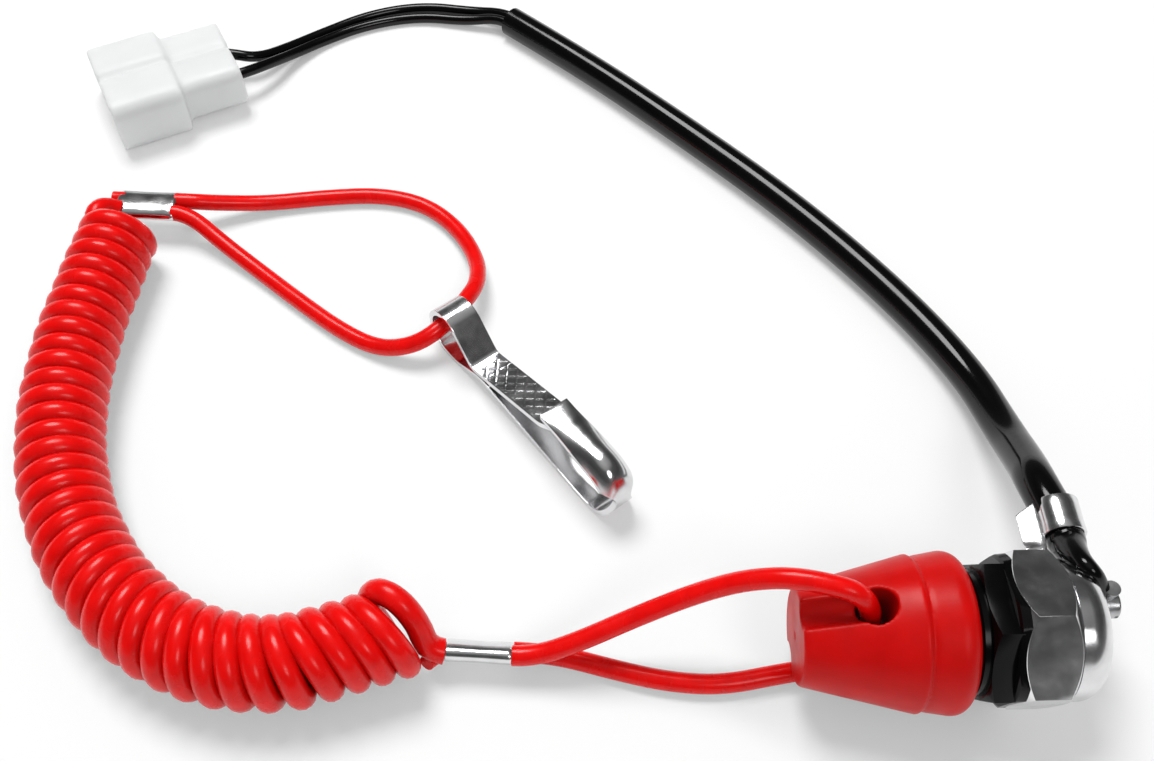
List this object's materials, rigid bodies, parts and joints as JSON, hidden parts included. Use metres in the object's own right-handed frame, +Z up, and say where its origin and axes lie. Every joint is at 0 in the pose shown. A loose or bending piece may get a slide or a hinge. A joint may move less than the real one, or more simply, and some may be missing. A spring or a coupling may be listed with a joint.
{
  "type": "engine kill switch with lanyard",
  "caption": "Pull-cap engine kill switch with panel thread, chrome hex body, wired connector and a coiled lanyard that ends in a snap hook.",
  "frame": {"origin": "on the switch's axis, at the panel seat: the hexagonal body's front face", "axes": "+X along the switch's axis towards its rear dome, so the cap pulls off along -X; +Z up from the surface that the switch, its lanyard and its harness lie on; +Y to the harness's side"},
  "size_m": [0.1888, 0.1848, 0.0268],
  "materials": {
    "cap_red": "semi-gloss moulded",
    "cord_red": "glossy extruded",
    "moulded_black": "glossy moulded",
    "sleeve_black": "glossy extruded",
    "chrome": "bright plated",
    "plated_steel": "zinc plated",
    "brass": "bright",
    "insulator": "matt moulded",
    "nylon": "translucent moulded"
  },
  "bodies": {
    "switch": {"hex_body": "chrome", "rear_dome": "chrome", "barrel": "moulded_black", "front_nut": "moulded_black", "contact_base": "insulator", "live_contact": "brass", "earth_contact": "brass", "terminal_bush": "moulded_black", "terminal_screw": "plated_steel", "spring_washer": "plated_steel", "ring_terminal": "brass", "stud_lead": "sleeve_black", "cable_clip": "chrome", "wire_boot": "sleeve_black", "cable_sleeve": "sleeve_black", "wire_a": "sleeve_black", "wire_b": "sleeve_black", "connector_housing": "nylon", "blade_terminal_a": "brass", "blade_terminal_b": "brass", "plunger_spring": "plated_steel"},
    "plunger": {"plunger": "moulded_black", "contact_bridge": "brass"},
    "lanyard": {"cap": "cap_red", "cap_loop": "cord_red", "ferrule_cap_end": "chrome", "coil": "cord_red", "coil_lead_cap_end": "cord_red", "coil_lead_hook_end": "cord_red", "ferrule_hook_end": "chrome", "hook_loop": "cord_red"},
    "hook": {"hook_frame": "chrome"},
    "gate": {"hook_gate": "chrome"}
  },
  "joints": [
    {"name": "cap_pull", "type": "slide", "parent": "switch", "child": "lanyard", "axis": [-1, 0, 0], "range_m": [0, 0.03]},
    {"name": "plunger_pop", "type": "slide", "parent": "switch", "child": "plunger", "axis": [-1, 0, 0], "range_m": [0, 0.0044]},
    {"name": "hook_swing", "type": "hinge", "parent": "lanyard", "child": "hook", "pos_m": [-0.08791, 0.06784, -0.0062], "axis": [-0.7955, -0.606, 0], "range_deg": [0, 90]},
    {"name": "gate_open", "type": "hinge", "parent": "hook", "child": "gate", "pos_m": [-0.07961, 0.05694, -0.00785], "axis": [0.7955, 0.606, 0], "range_deg": [0, 12], "stiffness_Nm_per_rad": 0.01, "springref_deg": -5.73}
  ],
  "couplings": [
    {"joint": "plunger_pop", "follows": "cap_pull", "ratio": 0.1466}
  ]
}
